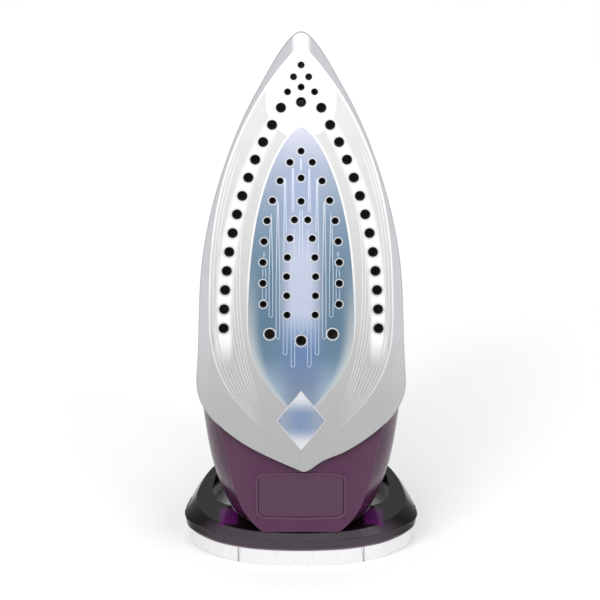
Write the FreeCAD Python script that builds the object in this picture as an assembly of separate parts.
import FreeCAD, Part
import math
import os

# A steam iron standing on its heel, in millimetres.
#
# Iron frame, in which most pieces are drawn: X across, Y from the working face of the sole (Y = 0)
# back to the handle, Z along the sole from its rear tip (Z = 0) to its toe.
# Standing frame, in which every piece is saved: the iron frame leaned back by lean_angle, with the
# rest plane at Z = 0 and the origin in the middle of the heel.

# Overall sizes
sole_length = 250.0
sole_width = 116.0
lean_angle = 12.0
tip_height = 55.8
heel_width = 122.8
heel_depth = 119.0
body_height = 72.0
handle_top = 151.0

# Walls and gaps
shell_wall = 2.5
tank_wall = 2.2
running_gap = 0.3
shaft_gap = 0.08
fit_gap = 0.15

# Sole, casting and steam chamber
sole_thickness = 2.2
casting_top = 16.0
casting_margin = 8.0
chamber_depth = 8.0
cover_thickness = 1.5
big_hole_radius = 2.1
small_hole_radius = 1.2
heater_radius = 3.8
heater_height = 9.2

# Casing
skirt_foot = 4.0
skirt_top = 36.0
bulkhead_z = 12.0
tank_floor_level = 38.0
tank_floor_thickness = 2.0
label_width = 48.2
label_height = 25.0
label_depth = 1.3

# Heel, measured up from the rest plane
base_height = 9.2
ring_height = 20.3
ring_bulge = 4.0
ring_wall = 2.4
cover_strip_half = 34.4
cover_strip_back = 30.0
wing_half_width = 15.5
wing_half_depth = 26.0
front_strip = 0.9
ring_front = 1.8
front_flare = 0.1
rear_flare = 0.75
front_wall_share = 0.5

# Handle and controls
front_tower = 164.0
rear_tower = 14.0
bar_height = 134.0
seam_y = 137.5
slope_turn = 47.0
dial_z = 75.0
dial_radius = 23.0
dial_thickness = 9.0
shaft_radius = 3.4
knob_z = 138.0
knob_radius = 8.0
rod_radius = 2.2
button_z = 163.0
button_x = 9.5
button_radius = 7.0
pump_radius = 6.0
piston_radius = 4.0
door_length = 25.0
door_width = 19.0
door_thickness = 2.2
duct_width = 14.0
duct_depth = 11.0
nozzle_y = 90.0
nozzle_radius = 4.6
ball_radius = 8.0
inlet_radius = 3.6
inlet_turn = 35.0
inlet_height = 131.0
socket_radius = 11.0
lens_radius = 3.5
pin_radius = 0.8
hinge_drop = 1.9
hinge_back = 1.6
screw_radius = 1.6

EPS = 0.01
X_AXIS = FreeCAD.Vector(1, 0, 0)
Y_AXIS = FreeCAD.Vector(0, 1, 0)
Z_AXIS = FreeCAD.Vector(0, 0, 1)

# Outlines run from the toe, round the right side, to the rear. Each point is the share of the way
# from the widest station to the toe (or to the rear) and the share of the greatest half width.
TOE = [(0.963, 0.153), (0.875, 0.33), (0.785, 0.49), (0.65, 0.68), (0.47, 0.86), (0.29, 0.96)]
SOLE_STERN = [(0.22, 1.0), (0.40, 0.93), (0.625, 0.716), (0.74, 0.552), (0.833, 0.38), (0.93, 0.165)]
FOOT_STERN = [(0.148, 0.96), (0.367, 0.81), (0.525, 0.745), (0.711, 0.664), (0.86, 0.535), (0.939, 0.39),
              (0.985, 0.21)]
FLANK_STERN = [(0.155, 0.985), (0.384, 0.94), (0.549, 0.885), (0.744, 0.765), (0.9, 0.565), (0.975, 0.30)]
BLUNT = [(0.25, 0.97), (0.5, 0.87), (0.7, 0.72), (0.86, 0.52), (0.96, 0.28)]
HEEL_TOP = [(0.006, 0.2), (0.025, 0.41), (0.076, 0.635), (0.155, 0.805), (0.24, 0.9), (0.33, 0.95),
            (0.43, 0.955), (0.55, 0.92), (0.69, 0.85), (0.83, 0.72), (0.94, 0.49), (0.99, 0.24)]
HEEL_SIDE = [(0.006, 0.22), (0.02, 0.40), (0.048, 0.565), (0.093, 0.735), (0.161, 0.875), (0.24, 0.975),
             (0.34, 0.99), (0.47, 0.945), (0.61, 0.885), (0.75, 0.8), (0.9, 0.6), (0.98, 0.3)]

widest_z = 0.24 * sole_length
half_width = sole_width / 2
lean = math.radians(lean_angle)

# Where the filler door's slope, the cord inlet and the lamp stand.
slope_point = FreeCAD.Vector(0, handle_top - 6, front_tower + 8)
inlet_point = FreeCAD.Vector(0, inlet_height, rear_tower - 13)
lens_z = rear_tower + 9

# Where the front of the tail passes the top of the heel ring, and how far that sets the iron forward.
tail_z = (ring_height - tip_height + skirt_foot * math.sin(lean)) / math.cos(lean)
heel_lead = front_strip - skirt_foot * math.cos(lean) - tail_z * math.sin(lean)


def at(x, y, z):
    return FreeCAD.Vector(x, y, z)


def stand(shape):
    """The shape moved from the iron frame to the standing frame."""
    copy = shape.copy()
    copy.rotate(at(0, 0, 0), X_AXIS, -lean_angle)
    copy.translate(at(0, -heel_depth / 2 + heel_lead, tip_height))
    return copy


def curve_through(points, closed=False):
    curve = Part.BSplineCurve()
    curve.interpolate(Points=points, PeriodicFlag=closed)
    return curve.toShape()


def outline(y, half, toe, wide, rear, stern):
    """A closed outline at height y, symmetric about X = 0."""
    right = [at(half * across, y, wide + (toe - wide) * along) for along, across in TOE]
    right += [at(half, y, wide)]
    right += [at(half * across, y, wide - (wide - rear) * along) for along, across in stern]
    return symmetric_wire(at(0, y, toe), right, at(0, y, rear))


def symmetric_wire(first, right, last):
    """A closed curve from last up the left side to first and down the right side."""
    left = [at(-p.x, p.y, p.z) for p in reversed(right)]
    points = [last] + left + [first] + right
    return Part.Wire([curve_through(points, True)])


def oval(y, zc, half_x, half_z, power=2.6, centre_x=0.0):
    """A rounded closed curve at height y, between an ellipse and a rectangle."""
    points = []
    for step in range(16):
        angle = math.tau * step / 16
        c = math.cos(angle)
        s = math.sin(angle)
        x = math.copysign(abs(c) ** (2 / power), c) * half_x
        z = math.copysign(abs(s) ** (2 / power), s) * half_z
        points.append(at(centre_x + x, y, zc + z))
    return Part.Wire([curve_through(points, True)])


def plate(wire, thickness):
    """The outline filled and given a thickness upwards along Y."""
    return Part.Face(wire).extrude(at(0, thickness, 0))


def loft(wires, ruled=False):
    return Part.makeLoft(wires, True, ruled)


def slab(low, high):
    """Everything between two heights of the iron frame."""
    return Part.makeBox(400, high - low, 700, at(-200, low, -300))


def box(x0, x1, y0, y1, z0, z1):
    return Part.makeBox(x1 - x0, y1 - y0, z1 - z0, at(x0, y0, z0))


def rod(x, z, low, high, radius):
    """A round bar along Y of the iron frame."""
    return Part.makeCylinder(radius, high - low, at(x, low, z), Y_AXIS)


def tube(x, z, low, high, radius, bore):
    return rod(x, z, low, high, radius).cut(rod(x, z, low - 1, high + 1, bore))


def pipe(points, radius):
    """A round hose through the points, with ball corners."""
    shape = Part.makeSphere(radius, points[0])
    for a, b in zip(points, points[1:]):
        run = b.sub(a)
        shape = shape.fuse([Part.makeCylinder(radius, run.Length, a, run), Part.makeSphere(radius, b)])
    return shape.removeSplitter()


def joined(shapes):
    return shapes[0].fuse(shapes[1:]).removeSplitter()


def group(shapes):
    return Part.makeCompound(shapes)


def screw(point, direction, length):
    """A pan head screw: its head sits at point, its shank runs along direction."""
    radius = screw_radius
    head = Part.makeCylinder(radius * 1.9, radius * 1.2, point.sub(direction * (radius * 1.2)), direction)
    shank = Part.makeCylinder(radius, length, point, direction)
    slot = Part.makeBox(radius * 2.4, radius * 0.4, radius * 0.5, at(-radius * 1.2, -radius * 0.2, 0))
    cross = slot.fuse(slot.rotated(at(0, 0, 0), Z_AXIS, 90))
    cross.Placement = FreeCAD.Placement(point.sub(direction * (radius * 1.2)),
                                        FreeCAD.Rotation(Z_AXIS, direction))
    return head.fuse(shank).removeSplitter().cut(cross)


def screw_hole(point, direction, length):
    head = Part.makeCylinder(screw_radius * 1.9 + fit_gap, 30, point.sub(direction * 30), direction)
    shank = Part.makeCylinder(screw_radius + fit_gap / 2, length + 1, point, direction)
    return head.fuse(shank)


# ---------------------------------------------------------------- the hull of the lower body
def hull(inset=0.0):
    """The lower body, sole side to tank top; a positive inset moves its wall and floor inwards."""
    tip = 1.5 * inset
    rear = tail_z + inset
    return loft([
        outline(skirt_foot + inset, half_width - 2.5 - inset, sole_length - 4 - tip, widest_z,
                rear - 5.6, FOOT_STERN),
        outline(30, half_width - 1.5 - inset, sole_length - 11 - tip, widest_z,
                rear - 8.6, FLANK_STERN),
        outline(52, half_width - 8 - inset, sole_length - 25 - tip, widest_z,
                rear - 19.6, FLANK_STERN),
        outline(body_height, half_width - 21 - inset, sole_length - 44 - tip, widest_z,
                rear - 24.6, FLANK_STERN),
    ])


def rear_pillar(inset=0.0):
    """The rear post of the handle, from the lower body up to the top of the handle."""
    return loft([
        oval(body_height, rear_tower - 14, 34 - inset, 30 - inset),
        oval(96, rear_tower - 11, 27 - inset, 29 - inset),
        oval(120, rear_tower - 1, 20 - inset, 22 - inset),
        oval(handle_top - 9, rear_tower + 2, 17 - inset, 20 - inset),
        oval(handle_top - 3 - inset, rear_tower + 2, 12 - inset, 15 - inset),
    ])


def front_pillar(inset=0.0):
    """The front post of the handle, which carries the controls."""
    return loft([
        outline(body_height, 24 - inset, sole_length - 46 - 1.4 * inset, front_tower - 22,
                front_tower - 38 + inset, BLUNT),
        outline(96, 21 - inset, sole_length - 49 - 1.4 * inset, front_tower - 18,
                front_tower - 36 + inset, BLUNT),
        outline(122, 19.5 - inset, sole_length - 54 - 1.2 * inset, front_tower - 14,
                front_tower - 38 + inset, BLUNT),
        outline(handle_top - 9, 19 - inset, sole_length - 58 - 1.2 * inset, front_tower - 12,
                front_tower - 42 + inset, BLUNT),
        outline(handle_top - inset, 14 - inset, sole_length - 64 - 1.2 * inset, front_tower - 12,
                front_tower - 40 + inset, BLUNT),
    ])


def bar_section(z, centre_y, half_x, half_y):
    section = oval(0, 0, half_x, half_y, 2.3)
    section.rotate(at(0, 0, 0), X_AXIS, 90)
    section.translate(at(0, centre_y, z))
    return section


def handle_bar(inset=0.0):
    """The grip between the two posts."""
    return loft([
        bar_section(rear_tower, bar_height - 1.5, 16.5 - inset, 14 - inset),
        bar_section(rear_tower + 32, bar_height + 0.5, 15 - inset, 12.5 - inset),
        bar_section(front_tower - 66, bar_height + 1, 15 - inset, 12.5 - inset),
        bar_section(front_tower - 30, bar_height, 17 - inset, 14 - inset),
    ])


def on_slope(shape):
    """Drawn flat with +Y up and +Z down the slope, then laid on the sloped front of the handle.

    The top of the front post slopes down to the toe there, and carries the filler door.
    """
    copy = shape.copy()
    copy.rotate(at(0, 0, 0), X_AXIS, slope_turn)
    copy.translate(slope_point)
    return copy


def at_inlet(shape):
    """Drawn round the Z axis, opening towards -Z, then set into the rear of the handle.

    The cord leaves there backwards and a little upwards.
    """
    copy = shape.copy()
    copy.rotate(at(0, 0, 0), X_AXIS, inlet_turn)
    copy.translate(inlet_point)
    return copy


def above_slope(extra=0.0):
    return on_slope(box(-60, 60, extra, 80, -30, 120))


# ---------------------------------------------------------------- sole and heat
def sole_outline(inset=0.0, y=0.0):
    return outline(y, half_width - inset, sole_length - 1.7 * inset, widest_z,
                   1.1 * inset, SOLE_STERN)


def row_points(toe, wide, half, first, pitch, count):
    """Points a pitch apart along the right side of a pointed outline, first of them from its toe."""
    points = [at(0, 0, toe)]
    points += [at(half * across, 0, wide + (toe - wide) * along) for along, across in TOE]
    points += [at(half, 0, wide), at(half, 0, wide - 30)]
    edge = curve_through(points)
    steps = [edge.getParameterByLength(first + pitch * step) for step in range(count)]
    return [edge.valueAt(step) for step in steps]


def hole_places():
    """The steam holes as (point, radius): side rows, the two rows of the middle, and the toe."""
    side = row_points(sole_length - 30, 0.28 * sole_length, half_width - 14.8, 17.2, 10.9, 13)
    outer = row_points(0.735 * sole_length, 0.45 * sole_length, 21.3, 9.8, 11.9, 8)
    inner = row_points(0.61 * sole_length, 0.43 * sole_length, 8.1, 9.6, 10.9, 6)
    pairs = [(p, big_hole_radius) for p in side]
    pairs += [(p, small_hole_radius) for p in outer + inner]
    pairs += [(at(17.5, 0, 0.315 * sole_length), big_hole_radius)]
    pairs += [(at(4.2, 0, sole_length - 25.2), small_hole_radius)]
    pairs += [(at(7.5, 0, sole_length - 33.7), small_hole_radius)]
    middle = [(0.300, big_hole_radius), (0.617, small_hole_radius), (0.670, small_hole_radius),
              (0.731, small_hole_radius), (0.842, big_hole_radius), (0.876, small_hole_radius),
              (0.926, small_hole_radius)]
    places = [(at(0, 0, share * sole_length), radius) for share, radius in middle]
    for point, radius in pairs:
        places += [(point, radius), (at(-point.x, 0, point.z), radius)]
    return places


def make_soleplate():
    edge_lift = 0.6
    sole = loft([sole_outline(edge_lift, 0.0), sole_outline(0.0, edge_lift),
                 sole_outline(0.0, sole_thickness)], ruled=True)
    cutters = []
    for point, radius in hole_places():
        hole = rod(point.x, point.z, -1, sole_thickness + 1, radius)
        sink = Part.makeCone(radius + 0.9, radius, 0.9, at(point.x, -EPS, point.z), Y_AXIS)
        cutters.append(hole.fuse(sink))
    return sole.cut(cutters)


def heater_path():
    """The hairpin heater: two straight legs and a bend round the toe."""
    leg_rear = at(37.5, heater_height, 34)
    leg_front = at(11.5, heater_height, 0.81 * sole_length)
    legs = [leg_rear, leg_front]
    run = leg_front.sub(leg_rear)
    run.normalize()
    rise = leg_front.x / run.z * (1 - abs(run.x))
    top = at(0, heater_height, leg_front.z + rise)
    bend = Part.Arc(legs[1], top, at(-legs[1].x, legs[1].y, legs[1].z)).toShape()
    right = Part.makeLine(legs[0], legs[1])
    left = Part.makeLine(at(-legs[1].x, legs[1].y, legs[1].z), at(-legs[0].x, legs[0].y, legs[0].z))
    return right, bend, left


def make_heater(radius):
    right, bend, left = heater_path()
    solids = []
    for edge in (right, bend, left):
        start = edge.valueAt(edge.FirstParameter)
        run = edge.tangentAt(edge.FirstParameter)
        ring = Part.Wire([Part.makeCircle(radius, start, run)])
        solids.append(Part.Wire([edge]).makePipeShell([ring], True, True))
    corners = [Part.makeSphere(radius, p) for p in (bend.valueAt(bend.FirstParameter),
                                                   bend.valueAt(bend.LastParameter))]
    return solids[0].fuse(solids[1:] + corners)


def heater_ends():
    """The rear ends of the heater's legs and the way the terminals point."""
    right, bend, left = heater_path()
    start = right.valueAt(right.FirstParameter)
    away = right.tangentAt(right.FirstParameter) * -1
    return [(start, away), (at(-start.x, start.y, start.z), at(-away.x, away.y, away.z))]


def casting_outline(y, grow=0.0):
    inset = casting_margin - grow
    return outline(y, half_width - inset, sole_length - 1.7 * inset, widest_z, 1.1 * inset, BLUNT)


def chamber_outline(y, grow=0.0):
    return outline(y, 19 + grow, 0.69 * sole_length + 1.5 * grow, 0.44 * sole_length,
                   0.39 * sole_length - grow, BLUNT)


def steam_channel(half, toe, wide, rear, width):
    """A groove under the casting that feeds one row of holes."""
    edge = outline(sole_thickness - 1, half + width, toe + width, wide, rear - width, SOLE_STERN)
    outside = plate(edge, 3.4)
    inside = plate(outline(sole_thickness - 2, half - width, toe - 2.5 * width, wide, rear + width,
                           SOLE_STERN), 6)
    return outside.cut(inside)


def make_heating_base():
    block = plate(casting_outline(sole_thickness), casting_top - sole_thickness)
    chamber = plate(chamber_outline(casting_top - chamber_depth), chamber_depth + 1)
    channel = steam_channel(half_width - 14.8, sole_length - 30, 0.28 * sole_length, 40, 3.4)
    middle = plate(outline(sole_thickness - 1, 25, 0.76 * sole_length, 0.44 * sole_length, 62, BLUNT), 3.0)
    groove = make_heater(heater_radius)
    ends = [Part.makeCylinder(heater_radius + 1.0, 60, point, away) for point, away in heater_ends()]
    drains = [Part.makeCylinder(2.5, 20, at(x, casting_top - chamber_depth + 1, z), at(0, -1, 0))
              for x, z in ((12, 0.46 * sole_length), (-12, 0.46 * sole_length))]
    feet = cover_screw_rods(casting_top - 5, casting_top + 1)
    return block.cut(chamber).cut(channel).cut(middle).cut(groove).cut(ends + drains + feet)


def cover_screw_places():
    rear = 0.39 * sole_length - 4.5
    places = [(x, rear) for x in (-13, 0, 13)]
    return places + [(21.8, 0.44 * sole_length + 2), (-21.8, 0.44 * sole_length + 2)]


def cover_screw_rods(low, high):
    """The clearance holes of the lid's screws between two heights."""
    return [rod(x, z, low, high, screw_radius + 0.1) for x, z in cover_screw_places()]


def make_heater_pins():
    pins = []
    for point, away in heater_ends():
        pins.append(Part.makeCylinder(1.3, 10, point, away))
    return group(pins)


def make_chamber_cover():
    lid = plate(chamber_outline(casting_top + 0.8, 7.0), cover_thickness)
    cuts = cover_screw_rods(casting_top, casting_top + 5)
    cuts.append(rod(0, knob_z, casting_top, casting_top + 5, 5.0 + fit_gap))
    cuts.append(rod(-6, front_tower - 14, casting_top, casting_top + 5, 2.2 + fit_gap))
    return lid.cut(cuts)


def make_chamber_seal():
    inside = plate(chamber_outline(casting_top - 1, 1.0), 3)
    seal = plate(chamber_outline(casting_top, 7.0), 0.8).cut(inside)
    cuts = cover_screw_rods(casting_top - 1, casting_top + 5)
    return seal.cut(cuts)


def make_cover_screws():
    top = casting_top + 0.8 + cover_thickness
    return group([screw(at(x, top, z), at(0, -1, 0), 5.0) for x, z in cover_screw_places()])


def make_thermostat():
    stack = [rod(0, dial_z, casting_top + 1.2, casting_top + 5, 8)]
    stack.append(rod(0, dial_z, casting_top + 5, casting_top + 9, 6))
    bore = rod(0, dial_z, casting_top + 7, casting_top + 10, shaft_radius + shaft_gap)
    return joined(stack).cut(bore)


def make_thermostat_bracket():
    strap = box(-9, 9, casting_top, casting_top + 1.2, dial_z - 12, dial_z + 12)
    return strap.cut([rod(0, dial_z + dz, casting_top - 1, casting_top + 3, 1.7) for dz in (-10, 10)])


def make_bimetal_blade():
    return box(8.2, 24, casting_top + 2.2, casting_top + 3.2, dial_z - 3.5, dial_z + 3.5)


def make_thermal_fuse():
    body = Part.makeCylinder(2.2, 12, at(-6, casting_top + 2.6, 50), X_AXIS)
    leads = [Part.makeCylinder(0.6, 6, at(-12, casting_top + 2.6, 50), X_AXIS),
             Part.makeCylinder(0.6, 6, at(6, casting_top + 2.6, 50), X_AXIS)]
    return joined([body] + leads)


def make_fuse_clip():
    saddle = box(-3, 3, casting_top, casting_top + 6, 45, 55)
    return saddle.cut(Part.makeCylinder(2.2 + fit_gap / 3, 20, at(-10, casting_top + 2.6, 50), X_AXIS))


def make_valve_seat():
    """The drip valve: a tube from the tank floor into the steam chamber."""
    body = rod(0, knob_z, casting_top - 3, tank_floor_level + tank_floor_thickness + 2, 5)
    flange = rod(0, knob_z, tank_floor_level - 2, tank_floor_level, 8)
    bore = rod(0, knob_z, casting_top + 3, 80, rod_radius + running_gap)
    drip = rod(0, knob_z, 0, 60, 1.0)
    return joined([body, flange]).cut([bore, drip])


# ---------------------------------------------------------------- casing
def lower_casing_region(gap):
    """Where the skirt is: all of the foot, and the full height behind the bulkhead."""
    return slab(0, skirt_top - gap).fuse(box(-200, 200, 0, 400, -300, bulkhead_z - gap)).removeSplitter()


def below_heel_cut():
    """Everything under the level, in the standing frame, at which the casing stands on the heel base."""
    return Part.makeBox(600, 600, 300, at(-300, -300, base_height + fit_gap - 300))


def tail_step(gap=0.0):
    """In the standing frame: the front of the tail steps back here, behind the front wall of the ring."""
    plane = -heel_depth / 2 + ring_front + gap
    return Part.makeBox(600, 300, 300, at(-300, plane - 300, ring_height + running_gap + gap - 300))


def post(x, y, top):
    """A screw post in the standing frame, from the heel base up into the casing."""
    return Part.makeCylinder(3.8, top - 3.4, at(x, y, 3.4))


def skirt_posts():
    return [(sign * 14, -heel_depth / 2 + 8.5) for sign in (-1, 1)]


def pillar_posts():
    return [(sign * 20, heel_depth / 2 - 36) for sign in (-1, 1)]


def make_skirt():
    bulkhead = box(-80, 80, skirt_top - 8, body_height, bulkhead_z - shell_wall, bulkhead_z)
    cavity = hull(shell_wall).cut(bulkhead)
    opening = plate(casting_outline(skirt_foot - 1, 1.2), shell_wall + 3)
    recess = box(-label_width / 2, label_width / 2, skirt_foot - 1, skirt_foot + label_depth,
                 -2.2 - label_height, -2.2)
    shell = hull().cut([cavity, opening]).common(lower_casing_region(0)).cut(recess)
    shell = stand(shell).cut([below_heel_cut(), tail_step()])
    solid = max(shell.Solids, key=lambda part: part.Volume)
    for x, y in skirt_posts():
        rib = Part.makeBox(3, 9, 30, at(x - 1.5, y - 9, 12))
        column = post(x, y, 42).fuse(rib.common(stand(hull())))
        solid = solid.fuse(column.cut(stand(slab(-200, skirt_foot + label_depth + 0.4))))
    holes = [Part.makeCylinder(screw_radius, 24, at(x, y, 3)) for x, y in skirt_posts()]
    return solid.cut(holes)


def make_label_plate():
    gap = 0.5
    width = label_width / 2 - gap
    blank = box(-width, width, skirt_foot + 0.5, skirt_foot + label_depth,
                -2.2 - label_height + gap, -2.2 - gap)
    return stand(blank.makeFillet(1.2, [e for e in blank.Edges if abs(e.tangentAt(0).y) > 0.9]))


def tank_cuts():
    """What passes through the tank: the dial's sleeve, the valve rod, the steam tube, the filler."""
    low = tank_floor_level - 6
    high = body_height + 5
    return [rod(0, dial_z, low, high, shaft_radius + 3.0),
            rod(-6, front_tower - 14, low, high, 2.2 + fit_gap),
            rod(0, knob_z, tank_floor_level + 5, high, rod_radius + 2.0),
            rod(5.5, front_tower - 14, body_height - 6, high, 1.8 + fit_gap)]


def make_tank_shell():
    cavity = hull(tank_wall).cut(slab(body_height - tank_wall, 200))
    shell = hull().cut(cavity)
    shell = shell.common(box(-200, 200, skirt_top + 0.2, body_height, bulkhead_z + 0.2, 400))
    wall = box(-80, 80, skirt_top + 0.2, body_height, bulkhead_z + 0.2, bulkhead_z + 0.2 + tank_wall)
    shell = shell.fuse(wall.common(hull()))
    filler = filler_box(0.2).common(slab(body_height - 10, body_height + 10))
    return shell.cut(tank_cuts() + [filler])


def make_tank_floor():
    floor = hull(tank_wall + fit_gap).common(
        box(-200, 200, tank_floor_level, tank_floor_level + tank_floor_thickness,
            bulkhead_z + tank_wall + 0.4, 400))
    seat = rod(0, knob_z, tank_floor_level - 1, tank_floor_level + 9, 5.0 + fit_gap)
    return floor.cut(tank_cuts() + [seat])


def make_tank_seal():
    """A cord seal under the edge of the tank floor."""
    low = tank_floor_level - 1.2
    band = hull(tank_wall + 0.5).cut(hull(tank_wall + 3.0))
    return band.common(box(-200, 200, low, tank_floor_level, bulkhead_z + 6, 400))


def make_shaft_sleeve():
    bore = shaft_radius + running_gap
    return tube(0, dial_z, tank_floor_level - 4, body_height - EPS, shaft_radius + 2.6, bore)


def filler_box(grow=0.0):
    half = duct_width / 2 + grow
    front = front_tower + 19
    return box(-half, half, body_height - 4, handle_top - 28, front - duct_depth - grow, front + grow)


def make_filler_duct():
    """The channel from the filler door down into the tank."""
    half = duct_width / 2
    front = front_tower + 19
    wall = 1.3
    low = body_height - 1.5
    high = handle_top - 24
    outer = box(-half, half, low, high, front - duct_depth, front)
    inner = box(wall - half, half - wall, low - 1, high + 1, front - duct_depth + wall, front - wall)
    return outer.cut(inner).cut(above_slope(-shell_wall - 3.0))


def door_opening(grow):
    """The rounded hole under the filler door, drawn on the slope."""
    cut = box(-door_width / 2 - grow, door_width / 2 + grow, -door_thickness - grow, 10,
              2 - grow, 2 + door_length + grow)
    return cut


def hinge_rod(radius, length):
    """A rod along the filler door's hinge, drawn flat like the door itself."""
    return Part.makeCylinder(radius, length, at(-length / 2, -hinge_drop, hinge_back), X_AXIS)


def make_filler_door():
    plate_shape = box(-door_width / 2, door_width / 2, -door_thickness, 0, 2, 2 + door_length)
    corners = [e for e in plate_shape.Edges if abs(e.tangentAt(0).y) > 0.9]
    lid = plate_shape.makeFillet(4.0, corners)
    barrel = hinge_rod(hinge_drop, door_width - 8)
    bore = hinge_rod(pin_radius + shaft_gap, door_width)
    tab = box(-3, 3, 0, 0.8, door_length - 2, door_length)
    return on_slope(lid.fuse([barrel, tab]).cut(bore))


def make_door_pin():
    return on_slope(hinge_rod(pin_radius, door_width + 3))


# ---------------------------------------------------------------- handle


def handle_solid(inset=0.0):
    return front_pillar(inset).fuse([rear_pillar(inset), handle_bar(inset)])


def handle_cuts():
    """Openings in the handle: controls, filler door, lamp, cord inlet and bulkheads."""
    sealed = 0.3
    high = handle_top + 20
    pin = hinge_rod(pin_radius + 0.02, door_width + 3.4)
    barrel = box(-door_width / 2 - 0.35, door_width / 2 + 0.35, -4.4, 10, -0.8, 4.5)
    mouth = box(-8.4, 8.4, -12, 1, 6, door_length)
    cuts = [rod(sign * button_x, button_z, seam_y - 40, high, button_radius + sealed) for sign in (-1, 1)]
    cuts += [rod(0, knob_z, seam_y, high, rod_radius + 2.4)]
    cuts += [on_slope(door_opening(0.35)), on_slope(pin), on_slope(barrel), on_slope(mouth)]
    cuts += [at_inlet(Part.makeCylinder(socket_radius + fit_gap, 40, at(0, 0, 9), at(0, 0, -1)))]
    cuts += [rod(0, lens_z, seam_y - 1, high, lens_radius + fit_gap / 2)]
    cuts += [Part.makeCylinder(nozzle_radius + fit_gap, 60, at(0, nozzle_y, front_tower + 20), Z_AXIS)]
    cuts += [Part.makeCylinder(nozzle_radius + 1.6, 60, at(0, nozzle_y, sole_length - 46.1), Z_AXIS)]
    return cuts


def make_handle_shell():
    """The whole handle as one hollow shell, before it is parted at the seam."""
    outer = handle_solid(0.0).cut(above_slope())
    inner = handle_solid(shell_wall).cut(above_slope(-shell_wall))
    floor_cut = slab(-10, body_height + EPS)
    shell = outer.cut(inner.cut(slab(handle_top - 3 - shell_wall - 0.2, 400))).cut(floor_cut)
    return shell.cut(handle_cuts())


def make_handle_housing(shell):
    lower = stand(shell.common(slab(body_height, seam_y))).cut(below_heel_cut())
    solid = max(lower.Solids, key=lambda part: part.Volume)
    for x, y in pillar_posts():
        rib = Part.makeBox(26, 3, 24, at(x if x > 0 else x - 26, y - 1.5, 20))
        column = post(x, y, 46).fuse(rib.common(stand(rear_pillar())))
        solid = solid.fuse(column.common(stand(slab(body_height + 0.2, 200))))
    holes = [Part.makeCylinder(screw_radius, 24, at(x, y, 3)) for x, y in pillar_posts()]
    return solid.cut(holes + [stand(s) for s in handle_screw_bosses_cut()])


def handle_screw_bosses_cut():
    return [rod(0, z, seam_y - 20, seam_y + 1, screw_radius) for z in handle_screw_places()]


def handle_screw_places():
    return [rear_tower + 32, front_tower - 66]


def make_handle_cover(shell):
    return stand(shell.common(slab(seam_y + 0.2, handle_top + 30)))


def make_soft_grip():
    sleeve = handle_bar(-1.3).cut(handle_solid())
    return sleeve.common(box(-40, 40, 0, seam_y - 4, rear_tower + 27, front_tower - 50))


# ---------------------------------------------------------------- controls
def make_dial():
    low = body_height + 0.6
    wheel = rod(0, dial_z, low, low + dial_thickness, dial_radius)
    rims = [e for e in wheel.Edges if e.Length > 100 and e.Curve.TypeId.endswith("Circle")]
    wheel = wheel.makeChamfer(1.2, rims)
    notches = []
    for step in range(24):
        angle = math.tau * step / 24
        x = (dial_radius + 1.0) * math.cos(angle)
        z = dial_z + (dial_radius + 1.0) * math.sin(angle)
        notches.append(rod(x, z, low - 1, low + dial_thickness + 1, 2.0))
    socket = rod(0, dial_z, low - 1, low + 6, shaft_radius)
    return wheel.cut(notches).cut(socket)


def make_dial_shaft():
    return rod(0, dial_z, casting_top + 7.3, body_height + 0.6 + 6, shaft_radius)


def make_dial_index():
    top = body_height + 0.6 + dial_thickness
    return box(-1, 1, top, top + 0.5, dial_z + dial_radius - 9, dial_z + dial_radius - 3)


def knob_base():
    return handle_top + 0.6


def make_steam_knob():
    low = knob_base()
    cap = rod(0, knob_z, low, low + 6.5, knob_radius)
    cap = cap.makeFillet(1.2, [e for e in cap.Edges if e.CenterOfMass.y > low + 6 and e.Length > 20])
    wing = box(-1.6, 1.6, low + 5, low + 10, knob_z - knob_radius + 1, knob_z + knob_radius - 1)
    return cap.fuse(wing).cut(rod(0, knob_z, low - 1, low + 4, rod_radius))


def make_valve_rod():
    stem = rod(0, knob_z, casting_top + 6, knob_base() + 4, rod_radius)
    tip = Part.makeCone(0.8, rod_radius, 2.4, at(0, casting_top + 3.6, knob_z), Y_AXIS)
    return stem.fuse(tip).removeSplitter()


def make_valve_collar():
    low = handle_top - 8
    return tube(0, knob_z, low, knob_base() - 0.3, rod_radius + 2.0, rod_radius + shaft_gap)


def pump_top():
    return handle_top - 24


def make_pump(x):
    low = pump_top() - 24
    barrel = rod(x, button_z, low, pump_top(), pump_radius)
    bore = rod(x, button_z, low + 2, pump_top() + 1, piston_radius + shaft_gap)
    outlet = rod(x, button_z, low - 3, low + 3, 1.0)
    nipple = rod(x, button_z, low - 3, low + 1, 1.8)
    return barrel.fuse(nipple).removeSplitter().cut([bore, outlet])


def make_piston(x):
    low = pump_top() - 24 + 9
    return rod(x, button_z, low, pump_top() - 1, piston_radius).fuse(
        rod(x, button_z, low, handle_top - 4, 1.8)).removeSplitter()


def button_top():
    return handle_top + 2.2


def make_button(x):
    cap = rod(x, button_z, handle_top - 7, button_top(), button_radius)
    cap = cap.makeFillet(1.5, [e for e in cap.Edges if e.CenterOfMass.y > handle_top and e.Length > 20])
    return cap.cut([rod(x, button_z, handle_top - 8, handle_top - 4, 1.8)])


def make_spring(x):
    """A coil spring round the piston's stem, between the pump and the button."""
    low = pump_top() + 0.5
    high = handle_top - 7.6
    helix = Part.makeHelix((high - low) / 5, high - low, 3.6)
    ring = Part.Wire([Part.makeCircle(0.45, at(3.6, 0, 0), Y_AXIS)])
    coil = Part.Wire([helix]).makePipeShell([ring], True, True)
    coil.rotate(at(0, 0, 0), X_AXIS, -90)
    coil.translate(at(x, low, button_z))
    return coil


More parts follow.
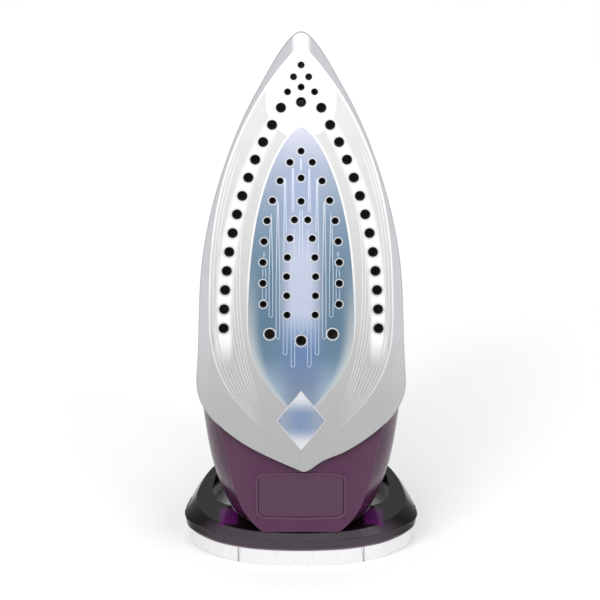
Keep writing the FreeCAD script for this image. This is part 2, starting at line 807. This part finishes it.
def make_shot_tube():
    low = pump_top() - 27
    x = -button_x
    z = front_tower - 14
    runs = [at(x, low, button_z), at(x, low - 6, button_z)]
    runs += [at(-6, low - 12, z), at(-6, casting_top + 0.5, z)]
    return pipe(runs, 2.0).cut(rod(x, button_z, low, low + 10, 5))


def make_spray_hose():
    low = pump_top() - 27
    side = duct_width / 2 + 2.0
    across = front_tower + 21.6
    runs = [at(button_x, low, button_z), at(button_x, low - 7, button_z), at(side, nozzle_y, button_z + 8),
            at(side, nozzle_y, across), at(0, nozzle_y, across + 0.6)]
    return pipe(runs, 1.7).cut(rod(button_x, button_z, low, low + 10, 5))


def make_suction_hose():
    z = front_tower - 14
    return pipe([at(5.5, tank_floor_level + 5, z), at(5.5, body_height + 16, z)], 1.8)


def make_spray_nozzle():
    tip = sole_length - 46
    root = front_tower + 24
    body = Part.makeCylinder(nozzle_radius, tip - root, at(0, nozzle_y, root), Z_AXIS)
    flange = Part.makeCylinder(nozzle_radius + 1.4, 2.0, at(0, nozzle_y, tip), Z_AXIS)
    bore = Part.makeCylinder(1.6, 60, at(0, nozzle_y, front_tower + 30), Z_AXIS)
    return joined([body, flange]).cut(bore)


def make_nozzle_tip():
    tip = sole_length - 44
    plug = Part.makeCylinder(1.6, 6, at(0, nozzle_y, tip - 5), Z_AXIS)
    return plug.cut(Part.makeCylinder(0.4, 20, at(0, nozzle_y, tip - 8), Z_AXIS))


def make_indicator_lens():
    low = seam_y + 1.0
    lens = rod(0, lens_z, low, handle_top - 1.6, lens_radius)
    return lens.makeFillet(1.2, [e for e in lens.Edges if e.CenterOfMass.y > low + 3 and e.Length > 10])


def make_indicator_lamp():
    return rod(0, lens_z, seam_y - 13, seam_y + 0.8, 2.4)


def make_cord_ball():
    ball = Part.makeSphere(ball_radius).cut(Part.makeBox(40, 40, 40, at(-20, -20, 4.5)))
    spout = Part.makeCone(5.5, 5.0, 13, at(0, 0, -6.0), at(0, 0, -1))
    bore = Part.makeCylinder(inlet_radius, 60, at(0, 0, -30), Z_AXIS)
    return at_inlet(joined([ball, spout]).cut(bore))


def make_cord_socket():
    body = Part.makeCylinder(11, 11, at(0, 0, -2.6), Z_AXIS)
    seat = Part.makeSphere(ball_radius + shaft_gap)
    rear = Part.makeCylinder(ball_radius - 1.2, 30, at(0, 0, 0), Z_AXIS)
    mouth = Part.makeCone(7.4, 10.5, 4, at(0, 0, -1.9), at(0, 0, -1))
    return at_inlet(body.cut([seat, rear, mouth]))


def make_terminal_block():
    body = box(-13, 13, 84, 92, rear_tower - 10, rear_tower + 6)
    cuts = [Part.makeCylinder(1.8, 40, at(x, 88, rear_tower - 20), Z_AXIS) for x in (-8, 0, 8)]
    return body.cut(cuts)


def make_lead_wires():
    """Two live leads and the earth lead from the terminal block down to the casting."""
    low = casting_top + 8
    leads = []
    for x, drop in ((-8, -20), (0, 3), (8, 20)):
        z = rear_tower - 2
        runs = [at(x, 82.6, z - 5), at(x, 60, -4)]
        runs += [at(drop, low, -4 + abs(drop) / 4), at(drop, low, 1 + abs(drop) / 2)]
        leads.append(pipe(runs, 1.1))
    return group(leads)


# ---------------------------------------------------------------- heel, in the standing frame
def heel_outline(shares, z, flare, inset=0.0):
    """The heel's plan outline at height z above the rest plane, flared and then inset by a wall."""
    half = heel_width / 2 + flare - inset
    front = -heel_depth / 2 - front_flare * flare + front_wall_share * inset
    rear = heel_depth / 2 + rear_flare * flare - inset
    depth = rear - front
    right = [at(half * across, front + depth * along, z) for along, across in shares]
    return symmetric_wire(at(0, front, z), right, at(0, rear, z))


def body_through_heel():
    """The casing grown by the gap, to cut its way through the ring."""
    pillar = rear_pillar(-running_gap).cut(slab(0, body_height - 2))
    return [stand(hull(-running_gap)).cut(tail_step(-running_gap)), stand(pillar)]


def wing(sign, low, high):
    ring = oval(0, 3.0, wing_half_width, wing_half_depth, 2.6, sign * 34.0)
    ring.rotate(at(0, 0, 0), X_AXIS, 90)
    points = Part.Face(ring)
    points.rotate(at(0, 0, 0), X_AXIS, 180)
    solid = points.extrude(at(0, 0, high - low))
    box_z = solid.BoundBox.ZMin
    box_y = (solid.BoundBox.YMin + solid.BoundBox.YMax) / 2
    solid.translate(at(0, 3.0 - box_y, low - box_z))
    return solid


def make_heel_ring():
    low = base_height + 0.1
    waist = low + 1.8
    bulge = low + 6.2
    lid = ring_height - ring_wall
    outer = loft([heel_outline(HEEL_SIDE, low, 1.2),
                  heel_outline(HEEL_SIDE, waist, ring_bulge - 0.8),
                  heel_outline(HEEL_SIDE, bulge, ring_bulge),
                  heel_outline(HEEL_TOP, ring_height, 0.0)], ruled=True)
    inner = loft([heel_outline(HEEL_SIDE, low - 1, 1.2, ring_wall),
                  heel_outline(HEEL_SIDE, bulge, ring_bulge, ring_wall),
                  heel_outline(HEEL_TOP, lid, ring_bulge / 2, ring_wall)], ruled=True)
    ring = outer.cut(inner).cut(body_through_heel())
    ring = ring.cut([wing(-1, ring_height - 6, ring_height + 2), wing(1, ring_height - 6, ring_height + 2)])
    return max(ring.Solids, key=lambda part: part.Volume)


def heel_tray():
    floor = 3.2
    outer = loft([heel_outline(HEEL_SIDE, 0, -0.6), heel_outline(HEEL_SIDE, 1.2, 0.6),
                  heel_outline(HEEL_SIDE, base_height, 0.8)], ruled=True)
    inner = loft([heel_outline(HEEL_SIDE, floor, 0.6, 3.0),
                  heel_outline(HEEL_SIDE, base_height + 1, 0.8, 2.6)], ruled=True)
    return outer.cut(inner)


def cover_strip(gap):
    """The tapered strip of the heel base that is a piece of its own."""
    top = cover_strip_half - 1.0 - gap
    foot = cover_strip_half + 1.0 - gap
    front = -heel_depth
    back = cover_strip_back - gap
    profile = Part.makePolygon([at(-foot, front, -1), at(foot, front, -1), at(top, front, base_height + 1),
                                at(-top, front, base_height + 1), at(-foot, front, -1)])
    return Part.Face(profile).extrude(at(0, back - front, 0))


def heel_post_places():
    return skirt_posts() + pillar_posts()


def heel_screw_holes():
    return [screw_hole(at(x, y, 2.4), Z_AXIS, 16) for x, y in heel_post_places()]


def make_heel_base():
    return heel_tray().cut(cover_strip(0.0)).cut(heel_screw_holes())


def make_heel_cover():
    return heel_tray().common(cover_strip(0.15)).cut(heel_screw_holes())


def make_heel_screws():
    return group([screw(at(x, y, 2.4), Z_AXIS, 14) for x, y in heel_post_places()])


def make_handle_screws():
    return group([screw(at(0, seam_y + 3.2, z), at(0, -1, 0), 10) for z in handle_screw_places()])


# ---------------------------------------------------------------- all the pieces
def pieces():
    shell = make_handle_shell()
    iron_frame = {
        "soleplate": make_soleplate(),
        "heating_base": make_heating_base(),
        "heating_element": make_heater(heater_radius - 0.02),
        "heater_pins": make_heater_pins(),
        "chamber_cover": make_chamber_cover(),
        "chamber_seal": make_chamber_seal(),
        "cover_screws": make_cover_screws(),
        "thermostat": make_thermostat(),
        "thermostat_bracket": make_thermostat_bracket(),
        "bimetal_blade": make_bimetal_blade(),
        "thermal_fuse": make_thermal_fuse(),
        "fuse_clip": make_fuse_clip(),
        "valve_seat": make_valve_seat(),
        "tank_shell": make_tank_shell(),
        "tank_floor": make_tank_floor(),
        "tank_seal": make_tank_seal(),
        "shaft_sleeve": make_shaft_sleeve(),
        "filler_duct": make_filler_duct(),
        "filler_door": make_filler_door(),
        "door_pin": make_door_pin(),
        "soft_grip": make_soft_grip(),
        "temperature_dial": make_dial(),
        "dial_shaft": make_dial_shaft(),
        "dial_index": make_dial_index(),
        "steam_knob": make_steam_knob(),
        "valve_rod": make_valve_rod(),
        "valve_collar": make_valve_collar(),
        "spray_button": make_button(button_x),
        "spray_piston": make_piston(button_x),
        "spray_spring": make_spring(button_x),
        "spray_pump": make_pump(button_x),
        "spray_hose": make_spray_hose(),
        "shot_button": make_button(-button_x),
        "shot_piston": make_piston(-button_x),
        "shot_spring": make_spring(-button_x),
        "shot_pump": make_pump(-button_x),
        "shot_tube": make_shot_tube(),
        "suction_hose": make_suction_hose(),
        "spray_nozzle": make_spray_nozzle(),
        "nozzle_tip": make_nozzle_tip(),
        "indicator_lens": make_indicator_lens(),
        "indicator_lamp": make_indicator_lamp(),
        "cord_ball": make_cord_ball(),
        "cord_socket": make_cord_socket(),
        "terminal_block": make_terminal_block(),
        "lead_wires": make_lead_wires(),
        "handle_screws": make_handle_screws(),
    }
    standing = {name: stand(shape) for name, shape in iron_frame.items()}
    standing.update({
        "skirt": make_skirt(),
        "label_plate": make_label_plate(),
        "handle_housing": make_handle_housing(shell),
        "handle_cover": make_handle_cover(shell),
        "heel_ring": make_heel_ring(),
        "heel_base": make_heel_base(),
        "heel_cover": make_heel_cover(),
        "heel_screws": make_heel_screws(),
    })
    return standing


os.makedirs("parts", exist_ok=True)
for node, shape in pieces().items():
    shape.exportStep("parts/" + node + ".step")
    print(node, len(shape.Solids), round(shape.Volume, 1), shape.isValid())
